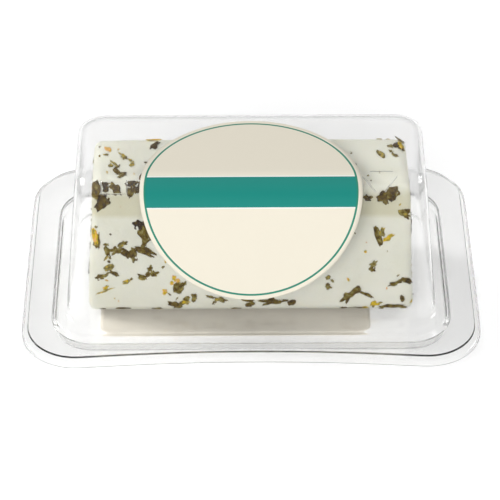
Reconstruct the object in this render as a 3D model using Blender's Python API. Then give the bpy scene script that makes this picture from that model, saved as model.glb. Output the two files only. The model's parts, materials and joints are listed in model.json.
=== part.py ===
"""A shut clear pack of fresh goat cheese with herbs.

A shallow clear tray carries a soft white block, a clear domed lid is pressed on over it,
a round paper label is wrapped over the lid's top front edge and a plain paper label sits
under the tray's floor. Metres, +Z up, table at z = 0, front of the pack towards -Y.
"""
import math
import random

import bmesh
import bpy
from mathutils import Matrix, Vector, noise

MM = 0.001
SEED = 41
GAP = 0.3 * MM

# Flange, seen from above
PACK_WIDTH = 130 * MM
PACK_DEPTH = 92.4 * MM
FLANGE_CORNER = 16 * MM
FRONT_BOW = 2.3 * MM
LID_RIM_INSET = 1.8 * MM

# Tray well and the step round the dome's foot, seen from above
WELL_WIDTH = 113 * MM
WELL_DEPTH = 69.3 * MM
WELL_CENTRE_Y = -3.05 * MM
WELL_CORNER = 11.6 * MM

# Heights
SHEET = 0.5 * MM
FLOOR_UNDERSIDE = 0.8 * MM
TRAY_FLANGE_TOP = 4.0 * MM
SKIRT_BOTTOM = 2.5 * MM
DOME_TOP = 46 * MM

# Dome, its walls carried down to the tray's flange, and its edges
DOME_WIDTH = 105.2 * MM
DOME_DEPTH = 67.8 * MM
DOME_CENTRE_Y = -2.9 * MM
DOME_CORNER = 10 * MM
DOME_CORNER_AT_TOP = 7 * MM
SIDE_DRAFT = 3.7 * MM
FRONT_DRAFT = 17.8 * MM
BACK_DRAFT = 11.6 * MM
SIDE_FILLET = 4.5 * MM
FRONT_FILLET = 8.7 * MM
BACK_FILLET = 11.4 * MM
FOOT_STEP_HEIGHT = 2.3 * MM

# Cheese block
BLOCK_WIDTH = 93.2 * MM
BLOCK_DEPTH = 34.3 * MM
BLOCK_TOP = 42 * MM
BLOCK_CENTRE_Y = -3.65 * MM
BLOCK_SIDE_DRAFT = 2.4 * MM
BLOCK_FRONT_DRAFT = 5.3 * MM
BLOCK_BACK_DRAFT = 5.0 * MM
BLOCK_EDGE = 2.6 * MM
BLOCK_CELL = 4.0 * MM
BLOCK_UNEVEN = 0.25 * MM
BLOCK_UNEVEN_SPACING = 14 * MM

# Herb flakes on the block
FLAKE_SIDES = 7
FLAKE_SUNK = 0.8 * MM
FLAKE_PROUD = 0.3 * MM
FLAKE_LENGTH = (2.4 * MM, 7.4 * MM)
FLAKE_SPACING = 6.5 * MM
FLAKE_EDGE_MARGIN = 4.5 * MM
FLAKES_ON_FACE = {"front": 24, "back": 18, "top": 14, "left": 9, "right": 9}

# Labels
PAPER = 0.2 * MM
FRONT_LABEL_RADIUS = 30.9 * MM
FRONT_LABEL_UP_WALL = 43.4 * MM
FRONT_LABEL_ROWS = 36
BASE_LABEL_WIDTH = 77 * MM
BASE_LABEL_DEPTH = 52 * MM
BASE_LABEL_FRONT_Y = -30 * MM
BASE_LABEL_CENTRE_X = -4.5 * MM
BASE_LABEL_CORNER = 5 * MM

# Smoothness of the rounded outlines
CORNER_STEPS = 5
LONG_SIDE_STEPS = 8
SHORT_SIDE_STEPS = 3
FILLET_STEPS = 8
PROFILE_STEPS = 12


def clear_scene():
    for item in list(bpy.data.objects):
        bpy.data.objects.remove(item, do_unlink=True)


def make_material(name, colour, roughness, alpha=1.0):
    material = bpy.data.materials.new(name)
    material.use_nodes = True
    shader = material.node_tree.nodes["Principled BSDF"]
    shader.inputs["Base Color"].default_value = (*colour, 1.0)
    shader.inputs["Roughness"].default_value = roughness
    shader.inputs["Metallic"].default_value = 0.0
    shader.inputs["Alpha"].default_value = alpha
    return material


def finish_object(name, mesh_data, material):
    """Turns a bmesh into a named, closed, outward facing object."""
    bmesh.ops.recalc_face_normals(mesh_data, faces=mesh_data.faces)
    mesh = bpy.data.meshes.new(name)
    mesh_data.to_mesh(mesh)
    mesh_data.free()
    mesh.materials.append(material)
    mesh.shade_smooth()
    part = bpy.data.objects.new(name, mesh)
    bpy.context.scene.collection.objects.link(part)
    return part


def outline(half_width, front, back, corner, height, bow=0.0):
    """A rounded rectangle as points, anticlockwise, with its front run bowed inwards."""
    corners = (
        (half_width - corner, front + corner, SHORT_SIDE_STEPS),
        (half_width - corner, back - corner, LONG_SIDE_STEPS),
        (corner - half_width, back - corner, SHORT_SIDE_STEPS),
        (corner - half_width, front + corner, LONG_SIDE_STEPS),
    )
    arcs = []
    for index, (x, y, _) in enumerate(corners):
        angles = [math.pi / 2 * (index - 1 + step / CORNER_STEPS) for step in range(CORNER_STEPS + 1)]
        arcs.append([Vector((x + corner * math.cos(a), y + corner * math.sin(a), height)) for a in angles])
    points = []
    for index, (_, _, side_steps) in enumerate(corners):
        run_start = arcs[index][-1]
        run_end = arcs[(index + 1) % 4][0]
        points += arcs[index]
        points += [run_start.lerp(run_end, step / side_steps) for step in range(1, side_steps)]
    straight = half_width - corner
    for point in points:
        if point.y < 0 and abs(point.x) < straight:
            point.y += bow * (1 - (point.x / straight) ** 2)
    return points


def flange_loop(inset, height):
    half_width = PACK_WIDTH / 2 - inset
    half_depth = PACK_DEPTH / 2 - inset
    return outline(half_width, -half_depth, half_depth, FLANGE_CORNER - inset, height, FRONT_BOW)


def well_loop(inset, height):
    half_width = WELL_WIDTH / 2 - inset
    front = WELL_CENTRE_Y - WELL_DEPTH / 2 + inset
    back = WELL_CENTRE_Y + WELL_DEPTH / 2 - inset
    return outline(half_width, front, back, WELL_CORNER - inset, height)


def wall_inset(height, draft, fillet, thickness):
    """How far a drafted wall with a filleted top edge lies inside the dome's foot."""
    rise = DOME_TOP - TRAY_FLANGE_TOP
    lean = math.atan2(draft, rise)
    radius = fillet - thickness
    top = DOME_TOP - thickness
    wall = (height - TRAY_FLANGE_TOP) * math.tan(lean) + thickness / math.cos(lean)
    centre_height = top - radius
    tangent_height = centre_height + radius * math.sin(lean)
    if height <= tangent_height:
        return wall
    wall_at_top = (top - TRAY_FLANGE_TOP) * math.tan(lean) + thickness / math.cos(lean)
    centre_inset = wall_at_top + radius * math.tan((math.pi / 2 - lean) / 2)
    reach = math.sqrt(max(0.0, radius ** 2 - (height - centre_height) ** 2))
    return centre_inset - reach


def dome_loop(height, thickness):
    """The dome's outline at one height, on its outside or one sheet inside it."""
    half_width = DOME_WIDTH / 2 - wall_inset(height, SIDE_DRAFT, SIDE_FILLET, thickness)
    front = DOME_CENTRE_Y - DOME_DEPTH / 2 + wall_inset(height, FRONT_DRAFT, FRONT_FILLET, thickness)
    back = DOME_CENTRE_Y + DOME_DEPTH / 2 - wall_inset(height, BACK_DRAFT, BACK_FILLET, thickness)
    level = (height - TRAY_FLANGE_TOP) / (DOME_TOP - TRAY_FLANGE_TOP)
    corner = DOME_CORNER + (DOME_CORNER_AT_TOP - DOME_CORNER) * level
    return outline(half_width, front, back, min(corner, 0.48 * (back - front)), height)


def dome_heights(thickness):
    """Levels from the step at the dome's foot up to its top, close together in the fillet."""
    foot = TRAY_FLANGE_TOP + GAP + SHEET + FOOT_STEP_HEIGHT - thickness + 0.6 * MM
    top = DOME_TOP - thickness
    radius = BACK_FILLET - thickness
    lean = math.atan2(BACK_DRAFT, DOME_TOP - TRAY_FLANGE_TOP)
    arc = [lean + (math.pi / 2 - lean) * step / FILLET_STEPS for step in range(FILLET_STEPS + 1)]
    return [foot, (foot + top - radius) / 2] + [top - radius + radius * math.sin(a) for a in arc]


def solid_from_loops(name, loops, material):
    """Skins a run of equal outlines and closes both ends, which gives one closed body."""
    mesh_data = bmesh.new()
    rings = [[mesh_data.verts.new(point) for point in loop] for loop in loops]
    for lower, upper in zip(rings, rings[1:]):
        for index in range(len(lower)):
            after = (index + 1) % len(lower)
            mesh_data.faces.new((lower[index], lower[after], upper[after], upper[index]))
    mesh_data.faces.new(rings[0])
    mesh_data.faces.new(rings[-1])
    return finish_object(name, mesh_data, material)


def build_tray(material):
    """Thin sheet: floor, foot bead, low wall, flange and a rim turned down all round."""
    flange_underside = TRAY_FLANGE_TOP - SHEET
    underside = [
        well_loop(4.0 * MM, FLOOR_UNDERSIDE),
        well_loop(3.4 * MM, 0.0),
        well_loop(1.4 * MM, 0.0),
        well_loop(0.8 * MM, 0.6 * MM),
        well_loop(0.5 * MM, flange_underside),
        flange_loop(1.1 * MM, flange_underside),
        flange_loop(SHEET, flange_underside - 0.6 * MM),
        flange_loop(SHEET, SKIRT_BOTTOM),
    ]
    upper_side = [
        flange_loop(0.0, SKIRT_BOTTOM),
        flange_loop(0.0, TRAY_FLANGE_TOP - 0.6 * MM),
        flange_loop(0.7 * MM, TRAY_FLANGE_TOP),
        well_loop(0.8 * MM, TRAY_FLANGE_TOP),
        well_loop(1.1 * MM, TRAY_FLANGE_TOP - 0.4 * MM),
        well_loop(1.4 * MM, 0.8 * MM),
        well_loop(1.7 * MM, SHEET),
        well_loop(3.1 * MM, SHEET),
        well_loop(3.7 * MM, FLOOR_UNDERSIDE + SHEET),
        well_loop(4.5 * MM, FLOOR_UNDERSIDE + SHEET),
    ]
    return solid_from_loops("tray", underside + upper_side, material)


def build_lid(material):
    """Thin sheet: flat flange with a curled edge, a low step and the dome on top of it."""
    underside = TRAY_FLANGE_TOP + GAP
    topside = underside + SHEET
    step_top = topside + FOOT_STEP_HEIGHT
    curl = 0.4 * MM
    inside = [dome_loop(height, SHEET) for height in reversed(dome_heights(SHEET))]
    inside += [
        well_loop(SHEET, step_top - SHEET),
        well_loop(0.4 * MM, underside + 0.4 * MM),
        well_loop(0.0, underside),
        flange_loop(LID_RIM_INSET + 0.8 * MM, underside),
        flange_loop(LID_RIM_INSET, underside + curl),
    ]
    outside = [
        flange_loop(LID_RIM_INSET, topside + curl),
        flange_loop(LID_RIM_INSET + 1.0 * MM, topside),
        well_loop(-0.5 * MM, topside),
        well_loop(-0.1 * MM, topside + 0.4 * MM),
        well_loop(0.0, step_top),
    ]
    outside += [dome_loop(height, 0.0) for height in dome_heights(0.0)]
    return solid_from_loops("lid", inside + outside, material)


def dome_profile(clearance):
    """The dome's middle section from its front foot over the top to its back foot."""
    rise = DOME_TOP - TRAY_FLANGE_TOP
    halves = []
    for side, draft, fillet in ((-1, FRONT_DRAFT, FRONT_FILLET), (1, BACK_DRAFT, BACK_FILLET)):
        lean = math.atan2(draft, rise)
        foot = DOME_CENTRE_Y + side * DOME_DEPTH / 2
        centre_y = foot - side * (draft + fillet * math.tan((math.pi / 2 - lean) / 2))
        radius = fillet + clearance
        points = [Vector((0.0, foot + side * clearance * math.cos(lean),
                          TRAY_FLANGE_TOP + clearance * math.sin(lean)))]
        for step in range(PROFILE_STEPS + 1):
            angle = lean + (math.pi / 2 - lean) * step / PROFILE_STEPS
            points.append(Vector((0.0, centre_y + side * radius * math.cos(angle),
                                  DOME_TOP - fillet + radius * math.sin(angle))))
        halves.append(points)
    return halves[0] + halves[1][::-1]


def along_profile(points, distance):
    """The point that lies this far along the profile."""
    for start, end in zip(points, points[1:]):
        length = (end - start).length
        if distance <= length:
            return start.lerp(end, distance / length)
        distance -= length
    return points[-1]


def build_front_label(material):
    """A round paper label bent over the dome's top front edge."""
    inner = dome_profile(GAP)
    outer = dome_profile(GAP + PAPER)
    mesh_data = bmesh.new()
    rings = []
    for row in range(FRONT_LABEL_ROWS + 1):
        angle = math.pi * (row + 0.5) / (FRONT_LABEL_ROWS + 1)
        along = FRONT_LABEL_UP_WALL - FRONT_LABEL_RADIUS * math.cos(angle)
        half = FRONT_LABEL_RADIUS * math.sin(angle)
        low = along_profile(inner, along)
        high = along_profile(outer, along)
        corners = ((-half, low), (half, low), (half, high), (-half, high))
        rings.append([mesh_data.verts.new((x, point.y, point.z)) for x, point in corners])
    for first, second in zip(rings, rings[1:]):
        for index in range(4):
            after = (index + 1) % 4
            mesh_data.faces.new((first[index], first[after], second[after], second[index]))
    mesh_data.faces.new(rings[0])
    mesh_data.faces.new(rings[-1])
    return finish_object("front_label", mesh_data, material)


def build_base_label(material):
    """A plain paper label stuck under the tray's floor."""
    top = FLOOR_UNDERSIDE - GAP
    half_width = BASE_LABEL_WIDTH / 2
    back = BASE_LABEL_FRONT_Y + BASE_LABEL_DEPTH
    aside = Vector((BASE_LABEL_CENTRE_X, 0.0, 0.0))
    loops = [[point + aside for point in outline(half_width, BASE_LABEL_FRONT_Y, back, BASE_LABEL_CORNER, height)]
             for height in (top - PAPER, top)]
    return solid_from_loops("base_label", loops, material)


def block_point(point):
    """Bends a point of a plain box into the soft, tapered, slightly uneven block."""
    bottom = FLOOR_UNDERSIDE + SHEET + GAP
    half = Vector((BLOCK_WIDTH / 2, BLOCK_DEPTH / 2, (BLOCK_TOP - bottom) / 2))
    core = Vector([max(-h + BLOCK_EDGE, min(h - BLOCK_EDGE, c)) for h, c in zip(half, point)])
    away = point - core
    rounded = core + away.normalized() * min(away.length, BLOCK_EDGE)
    level = (rounded.z + half.z) / (2 * half.z)
    rounded.x *= 1 - BLOCK_SIDE_DRAFT / half.x * level
    draft = BLOCK_FRONT_DRAFT if rounded.y < 0 else BLOCK_BACK_DRAFT
    rounded.y *= 1 - draft / half.y * level
    wave = noise.noise_vector(rounded / BLOCK_UNEVEN_SPACING) * BLOCK_UNEVEN
    rounded += wave * min(1.0, 4 * level)
    return rounded + Vector((0.0, BLOCK_CENTRE_Y, bottom + half.z))


def block_grid():
    """The block's skin as a grid of cells on the six sides of a box."""
    bottom = FLOOR_UNDERSIDE + SHEET + GAP
    size = Vector((BLOCK_WIDTH, BLOCK_DEPTH, BLOCK_TOP - bottom))
    cells = [max(2, round(length / BLOCK_CELL)) for length in size]
    mesh_data = bmesh.new()
    corners = {}

    def vertex(key):
        if key not in corners:
            fractions = [k / n - 0.5 for k, n in zip(key, cells)]
            corners[key] = mesh_data.verts.new(block_point(Vector([f * s for f, s in zip(fractions, size)])))
        return corners[key]

    for axis in range(3):
        first, second = [other for other in range(3) if other != axis]
        for side in (0, cells[axis]):
            for i in range(cells[first]):
                for j in range(cells[second]):
                    quad = []
                    for di, dj in ((0, 0), (1, 0), (1, 1), (0, 1)):
                        key = [0, 0, 0]
                        key[axis] = side
                        key[first] = i + di
                        key[second] = j + dj
                        quad.append(vertex(tuple(key)))
                    mesh_data.faces.new(quad)
    bmesh.ops.triangulate(mesh_data, faces=mesh_data.faces)
    return mesh_data


def flake_places(rng):
    """Seeded places on each face of the block, kept apart and off its edges."""
    bottom = FLOOR_UNDERSIDE + SHEET + GAP
    half = Vector((BLOCK_WIDTH / 2, BLOCK_DEPTH / 2, (BLOCK_TOP - bottom) / 2))
    faces = {"front": (1, -1), "back": (1, 1), "top": (2, 1), "left": (0, -1), "right": (0, 1)}
    places = []
    for face, (axis, side) in faces.items():
        found = []
        for attempt in range(400):
            if len(found) == FLAKES_ON_FACE[face]:
                break
            spot = Vector([rng.uniform(-1, 1) * (h - FLAKE_EDGE_MARGIN) for h in half])
            spot[axis] = side * half[axis]
            if all((spot - other).length > FLAKE_SPACING for other in found):
                found.append(spot)
        places += [(spot, axis, side) for spot in found]
    return places


def build_flake(spot, axis, side, rng, collection, index):
    """One irregular flat flake, sunk into the block and standing a little proud of it."""
    across = Vector((0, 0, 0))
    across[(axis + 1) % 3] = MM
    along = Vector((0, 0, 0))
    along[(axis + 2) % 3] = MM
    place = block_point(spot)
    edge_one = (block_point(spot + across) - place).normalized()
    edge_two = (block_point(spot + along) - place).normalized()
    normal = edge_one.cross(edge_two).normalized() * side
    edge_two = normal.cross(edge_one).normalized()
    length = rng.uniform(*FLAKE_LENGTH) * rng.uniform(0.6, 1.0)
    width = length * rng.uniform(0.35, 0.8)
    turn = Matrix.Rotation(rng.uniform(0, math.tau), 3, "Z")
    mesh_data = bmesh.new()
    rings = []
    shape = [rng.uniform(0.75, 1.1) for _ in range(FLAKE_SIDES)]
    for depth in (-FLAKE_SUNK, FLAKE_PROUD):
        ring = []
        for corner, stretch in enumerate(shape):
            angle = math.tau * corner / FLAKE_SIDES
            flat = Vector((length / 2 * math.cos(angle), width / 2 * math.sin(angle), 0)) * stretch
            flat = turn @ flat
            ring.append(mesh_data.verts.new(place + edge_one * flat.x + edge_two * flat.y + normal * depth))
        rings.append(ring)
    for corner in range(FLAKE_SIDES):
        after = (corner + 1) % FLAKE_SIDES
        mesh_data.faces.new((rings[0][corner], rings[0][after], rings[1][after], rings[1][corner]))
    mesh_data.faces.new(rings[0])
    mesh_data.faces.new(rings[1])
    bmesh.ops.recalc_face_normals(mesh_data, faces=mesh_data.faces)
    mesh = bpy.data.meshes.new(f"flake_{index}")
    mesh_data.to_mesh(mesh)
    mesh_data.free()
    collection.objects.link(bpy.data.objects.new(f"flake_{index}", mesh))


def build_cheese(material):
    """The soft white block with its herb flakes fused on."""
    block = finish_object("cheese", block_grid(), material)
    rng = random.Random(SEED)
    flakes = bpy.data.collections.new("flakes")
    bpy.context.scene.collection.children.link(flakes)
    for index, (spot, axis, side) in enumerate(flake_places(rng)):
        build_flake(spot, axis, side, rng, flakes, index)
    fuse = block.modifiers.new("fuse flakes", "BOOLEAN")
    fuse.operation = "UNION"
    fuse.operand_type = "COLLECTION"
    fuse.collection = flakes
    fuse.solver = "EXACT"
    evaluated = block.evaluated_get(bpy.context.evaluated_depsgraph_get())
    fused = bpy.data.meshes.new_from_object(evaluated)
    fused.name = "cheese_fused"
    block.modifiers.clear()
    block.data = fused
    for flake in list(flakes.objects):
        bpy.data.objects.remove(flake, do_unlink=True)
    bpy.data.collections.remove(flakes)
    return block


clear_scene()
clear_plastic = make_material("clear plastic", (0.84, 0.86, 0.85), 0.08, 0.25)
cheese_white = make_material("fresh cheese", (0.80, 0.78, 0.70), 0.45)
label_paper = make_material("label paper", (0.86, 0.82, 0.70), 0.5)
base_paper = make_material("base paper", (0.66, 0.62, 0.52), 0.7)
build_tray(clear_plastic)
build_lid(clear_plastic)
build_cheese(cheese_white)
build_front_label(label_paper)
build_base_label(base_paper)
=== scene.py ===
import json
import math
import random

import bmesh
import bpy
from mathutils import Matrix, Vector, noise
from mathutils.bvhtree import BVHTree

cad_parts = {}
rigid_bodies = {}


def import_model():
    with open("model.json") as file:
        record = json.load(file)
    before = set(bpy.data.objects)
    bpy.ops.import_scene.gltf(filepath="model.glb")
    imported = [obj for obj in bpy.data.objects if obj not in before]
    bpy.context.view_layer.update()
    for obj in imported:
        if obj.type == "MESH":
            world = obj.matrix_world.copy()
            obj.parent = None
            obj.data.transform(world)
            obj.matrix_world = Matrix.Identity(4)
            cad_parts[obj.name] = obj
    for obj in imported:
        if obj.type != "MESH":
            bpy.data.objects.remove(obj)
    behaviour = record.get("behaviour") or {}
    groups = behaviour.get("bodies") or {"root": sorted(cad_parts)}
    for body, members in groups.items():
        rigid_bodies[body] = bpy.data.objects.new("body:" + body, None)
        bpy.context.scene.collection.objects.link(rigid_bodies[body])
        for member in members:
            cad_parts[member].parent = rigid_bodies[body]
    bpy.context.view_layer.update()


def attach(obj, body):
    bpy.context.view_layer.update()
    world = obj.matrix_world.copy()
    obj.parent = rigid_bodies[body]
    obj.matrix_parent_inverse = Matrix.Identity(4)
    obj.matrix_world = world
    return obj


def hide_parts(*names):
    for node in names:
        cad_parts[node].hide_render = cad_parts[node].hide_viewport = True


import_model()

MM = 0.001


# White table, studio light and camera
# A wide white sheet lies under the pack. Soft boxes hang in front, behind and to both sides.
# The sky is duller than the table and dimmest where the flat sheets mirror it to the camera.
TABLE_SIZE = 2.0
TABLE_WHITE = (0.90, 0.90, 0.90)
TABLE_GLOW = 0.30
SKY_TONES = ((0.10, 0.30), (0.38, 0.40), (0.62, 0.12), (0.92, 0.60))
LAMP_AIM = (0, 0, 30 * MM)
CAMERA_ELEVATION = math.radians(38)
CAMERA_DISTANCE = 765 * MM
CAMERA_AIM = Vector((-0.16, -2.87, 4.04)) * MM
CAMERA_TURN = math.radians(-0.45)
CAMERA_RISE = 4.9 * MM
CAMERA_LENS = 189.3


def make_surface(name):
    material = bpy.data.materials.new(name)
    material.use_nodes = True
    tree = material.node_tree
    return material, tree, tree.nodes["Principled BSDF"]


def fill_ramp(ramp_node, stops):
    """Gives a colour ramp its stops, each a position from 0 to 1 and a colour."""
    elements = ramp_node.color_ramp.elements
    while len(elements) < len(stops):
        elements.new(0.5)
    for element, (position, colour) in zip(elements, stops):
        element.position = position
        element.color = (*colour, 1)


def add_grain(tree, place, scale, detail):
    """A cloudy grain from 0 to 1 over the piece. A larger scale makes it finer."""
    grain = tree.nodes.new("ShaderNodeTexNoise")
    grain.inputs["Scale"].default_value = scale
    grain.inputs["Detail"].default_value = detail
    tree.links.new(place.outputs["Object"], grain.inputs["Vector"])
    return grain.outputs["Fac"]


def add_bump(tree, shader, height, strength, depth):
    """Lets a grain tilt the way the surface shines."""
    bump = tree.nodes.new("ShaderNodeBump")
    bump.inputs["Strength"].default_value = strength
    bump.inputs["Distance"].default_value = depth
    tree.links.new(height, bump.inputs["Height"])
    tree.links.new(bump.outputs["Normal"], shader.inputs["Normal"])


def add_soft_box(name, place, size, watts, target, mirrored=True):
    """One studio lamp. What isn't mirrored leaves no glare on the glossy sheets."""
    lamp = bpy.data.lights.new(name, "AREA")
    lamp.shape = "RECTANGLE"
    lamp.size, lamp.size_y = size
    lamp.energy = watts
    box = bpy.data.objects.new(name, lamp)
    box.location = place
    box.rotation_euler = (Vector(target) - Vector(place)).to_track_quat("-Z", "Y").to_euler()
    box.visible_glossy = mirrored
    box.visible_transmission = mirrored
    bpy.context.scene.collection.objects.link(box)


table_mesh = bmesh.new()
bmesh.ops.create_grid(table_mesh, x_segments=8, y_segments=8, size=TABLE_SIZE / 2)
table_data = bpy.data.meshes.new("table")
table_mesh.to_mesh(table_data)
table_mesh.free()
table = bpy.data.objects.new("table", table_data)
bpy.context.scene.collection.objects.link(table)
table_paint, _, table_shader = make_surface("white table")
table_shader.inputs["Base Color"].default_value = (*TABLE_WHITE, 1)
table_shader.inputs["Roughness"].default_value = 0.7
table_shader.inputs["Specular IOR Level"].default_value = 0.2
table_shader.inputs["Emission Color"].default_value = (1, 1, 1, 1)
table_shader.inputs["Emission Strength"].default_value = TABLE_GLOW
table.data.materials.append(table_paint)

sky = bpy.data.worlds.new("studio")
bpy.context.scene.world = sky
sky.use_nodes = True
sky_nodes, sky_links = sky.node_tree.nodes, sky.node_tree.links
sky_direction = sky_nodes.new("ShaderNodeTexCoord")
sky_split = sky_nodes.new("ShaderNodeSeparateXYZ")
sky_ramp = sky_nodes.new("ShaderNodeValToRGB")
fill_ramp(sky_ramp, [(position, (grey, grey, grey)) for position, grey in SKY_TONES])
sky_links.new(sky_direction.outputs["Generated"], sky_split.inputs[0])
sky_links.new(sky_split.outputs["Z"], sky_ramp.inputs["Fac"])
sky_links.new(sky_ramp.outputs["Color"], sky_nodes["Background"].inputs["Color"])

add_soft_box("box in front", (-0.25, -1.05, 0.55), (1.0, 0.6), watts=9.1, target=LAMP_AIM, mirrored=False)
add_soft_box("box behind", (0.03, 0.72, 0.95), (0.8, 0.5), watts=1.15, target=(0, 0, 0), mirrored=False)
add_soft_box("box left", (-0.75, 0.3, 0.55), (0.3, 0.3), watts=2.5, target=LAMP_AIM)
add_soft_box("box right", (0.8, 0.35, 0.55), (0.3, 0.3), watts=1.6, target=LAMP_AIM)

camera_data = bpy.data.cameras.new("camera")
camera_data.sensor_width = 36
camera_data.lens = CAMERA_LENS
camera_data.clip_start = 0.01
camera = bpy.data.objects.new("camera", camera_data)
towards_camera = Vector((0, -math.cos(CAMERA_ELEVATION), math.sin(CAMERA_ELEVATION)))
picture_up = Vector((0, math.sin(CAMERA_ELEVATION), math.cos(CAMERA_ELEVATION)))
turn_about_pack = Matrix.Rotation(CAMERA_TURN, 3, "Z")
camera.location = CAMERA_AIM + turn_about_pack @ (towards_camera * CAMERA_DISTANCE + picture_up * CAMERA_RISE)
camera.rotation_euler = (math.pi / 2 - CAMERA_ELEVATION, 0, CAMERA_TURN)
bpy.context.scene.collection.objects.link(camera)
bpy.context.scene.camera = camera
bpy.context.scene.view_settings.view_transform = "Standard"


# Clear tray
# The pack stands in a shallow tray drawn from one clear sheet: a floor ringed by a foot bead,
# a low wall, a wide flange and a rim turned down all round. It comes off the mould glossy.
SHEET = 0.5 * MM
PACK_WIDTH = 130 * MM
PACK_DEPTH = 92.4 * MM
FLANGE_CORNER = 16 * MM
FRONT_BOW = 2.3 * MM
WELL_WIDTH = 113 * MM
WELL_DEPTH = 69.3 * MM
WELL_CENTRE_Y = -3.05 * MM
WELL_CORNER = 11.6 * MM
FLOOR_UNDERSIDE = 0.8 * MM
TRAY_FLANGE_TOP = 4.0 * MM
SKIRT_BOTTOM = 2.5 * MM
CORNER_STEPS = 8
LONG_SIDE_STEPS = 12
SHORT_SIDE_STEPS = 5
TRAY_TINT = (0.94, 0.94, 0.935)
TRAY_HAZE = 0.05
HAZE_FROM = 38 * MM
HAZE_TO = 45 * MM
SHEET_WAVES = 0.4 * MM


def rounded_outline(half_width, front, back, corner, height, bow=0.0):
    """A rounded rectangle as points, anticlockwise, with its front run bowed inwards."""
    corners = (
        (half_width - corner, front + corner, SHORT_SIDE_STEPS),
        (half_width - corner, back - corner, LONG_SIDE_STEPS),
        (corner - half_width, back - corner, SHORT_SIDE_STEPS),
        (corner - half_width, front + corner, LONG_SIDE_STEPS),
    )
    arcs = []
    for index, (x, y, _) in enumerate(corners):
        angles = [math.pi / 2 * (index - 1 + step / CORNER_STEPS) for step in range(CORNER_STEPS + 1)]
        arcs.append([Vector((x + corner * math.cos(a), y + corner * math.sin(a), height)) for a in angles])
    points = []
    for index, (_, _, side_steps) in enumerate(corners):
        run_start, run_end = arcs[index][-1], arcs[(index + 1) % 4][0]
        points += arcs[index]
        points += [run_start.lerp(run_end, step / side_steps) for step in range(1, side_steps)]
    straight = half_width - corner
    for point in points:
        if point.y < 0 and abs(point.x) < straight:
            point.y += bow * (1 - (point.x / straight) ** 2)
    return points


def flange_loop(inset, height):
    half_width = PACK_WIDTH / 2 - inset
    half_depth = PACK_DEPTH / 2 - inset
    return rounded_outline(half_width, -half_depth, half_depth, FLANGE_CORNER - inset, height, FRONT_BOW)


def well_loop(inset, height):
    front = WELL_CENTRE_Y - WELL_DEPTH / 2 + inset
    back = WELL_CENTRE_Y + WELL_DEPTH / 2 - inset
    return rounded_outline(WELL_WIDTH / 2 - inset, front, back, WELL_CORNER - inset, height)


def object_from_bmesh(name, mesh_data):
    mesh = bpy.data.meshes.new(name)
    mesh_data.to_mesh(mesh)
    mesh_data.free()
    mesh.shade_smooth()
    piece = bpy.data.objects.new(name, mesh)
    bpy.context.scene.collection.objects.link(piece)
    return piece


def bake_modifiers(piece):
    """Turns what the modifiers show into the piece's own plain mesh."""
    evaluated = piece.evaluated_get(bpy.context.evaluated_depsgraph_get())
    mesh = bpy.data.meshes.new_from_object(evaluated)
    piece.modifiers.clear()
    piece.data = mesh
    mesh.shade_smooth()
    return piece


def drawn_sheet(name, loops, smoothing):
    """A sheet drawn over a mould: outlines from its closed middle to its rim, given a thickness."""
    mesh_data = bmesh.new()
    rings = [[mesh_data.verts.new(point) for point in loop] for loop in loops]
    mesh_data.faces.new(rings[0])
    for inner, outer in zip(rings, rings[1:]):
        for index in range(len(inner)):
            after = (index + 1) % len(inner)
            mesh_data.faces.new((inner[index], outer[index], outer[after], inner[after]))
    bmesh.ops.recalc_face_normals(mesh_data, faces=mesh_data.faces)
    if mesh_data.faces[0].normal.z < 0:
        bmesh.ops.reverse_faces(mesh_data, faces=mesh_data.faces)
    sheet = object_from_bmesh(name, mesh_data)
    soften = sheet.modifiers.new("soft bends", "SUBSURF")
    soften.levels = soften.render_levels = smoothing
    wall = sheet.modifiers.new("sheet", "SOLIDIFY")
    wall.thickness = SHEET
    wall.offset = 0.0
    return bake_modifiers(sheet)


def clear_plastic(name, tint, haze, haze_at_top):
    """Clear glossy sheet that lets lamps through, with a faint haze that may grow at its top."""
    material, tree, shader = make_surface(name)
    shader.inputs["Base Color"].default_value = (*tint, 1)
    shader.inputs["Roughness"].default_value = 0.08
    shader.inputs["IOR"].default_value = 1.42
    ray = tree.nodes.new("ShaderNodeLightPath")
    through = tree.nodes.new("ShaderNodeBsdfTransparent")
    mix = tree.nodes.new("ShaderNodeMixShader")
    output = tree.nodes["Material Output"]
    tree.links.new(ray.outputs["Is Shadow Ray"], mix.inputs["Fac"])
    tree.links.new(shader.outputs["BSDF"], mix.inputs[1])
    tree.links.new(through.outputs["BSDF"], mix.inputs[2])
    tree.links.new(mix.outputs["Shader"], output.inputs["Surface"])
    place = tree.nodes.new("ShaderNodeTexCoord")
    rise = tree.nodes.new("ShaderNodeSeparateXYZ")
    film = tree.nodes.new("ShaderNodeMapRange")
    film.inputs["From Min"].default_value = HAZE_FROM
    film.inputs["From Max"].default_value = HAZE_TO
    film.inputs["To Min"].default_value = 1 - haze
    film.inputs["To Max"].default_value = 1 - haze_at_top
    tree.links.new(place.outputs["Object"], rise.inputs[0])
    tree.links.new(rise.outputs["Z"], film.inputs["Value"])
    tree.links.new(film.outputs["Result"], shader.inputs["Transmission Weight"])
    waves = add_grain(tree, place, scale=45.0, detail=1.5)
    add_bump(tree, shader, waves, strength=0.10, depth=SHEET_WAVES)
    return material


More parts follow.
